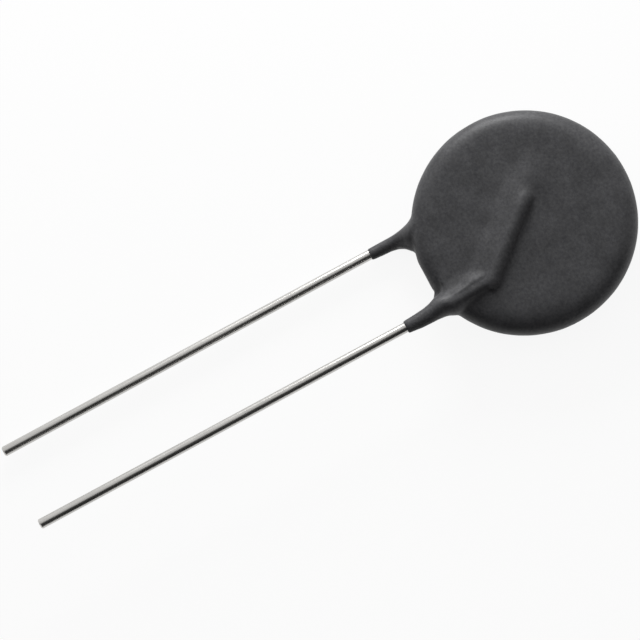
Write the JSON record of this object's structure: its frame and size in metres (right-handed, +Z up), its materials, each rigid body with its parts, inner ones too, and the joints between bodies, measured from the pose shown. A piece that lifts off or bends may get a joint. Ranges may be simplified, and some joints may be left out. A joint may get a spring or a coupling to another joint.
{
  "type": "ntc thermistor",
  "caption": "Black dip-coated disc thermistor with two straight tinned wire leads, the bent lead showing as a ridge on its face.",
  "frame": {"origin": "on the surface that the part lies on, below the middle of its overall length and width", "axes": "+Z up, out of the disc's front face; -Y along the leads towards their tips; +X from the rear lead to the front lead"},
  "size_m": [0.0218, 0.0654, 0.0058],
  "materials": {
    "sintered_ceramic": "matte sintered oxide",
    "fired_silver": "matte fired silver",
    "solder": "satin solder",
    "tinned_copper": "bright tin with fine drawing marks",
    "black_coating": "matte dipped resin, faintly mottled"
  },
  "bodies": {
    "root": {"ceramic_disc": "sintered_ceramic", "front_electrode": "fired_silver", "rear_electrode": "fired_silver", "front_solder": "solder", "rear_solder": "solder", "front_lead": "tinned_copper", "rear_lead": "tinned_copper", "coating": "black_coating"}
  },
  "joints": []
}
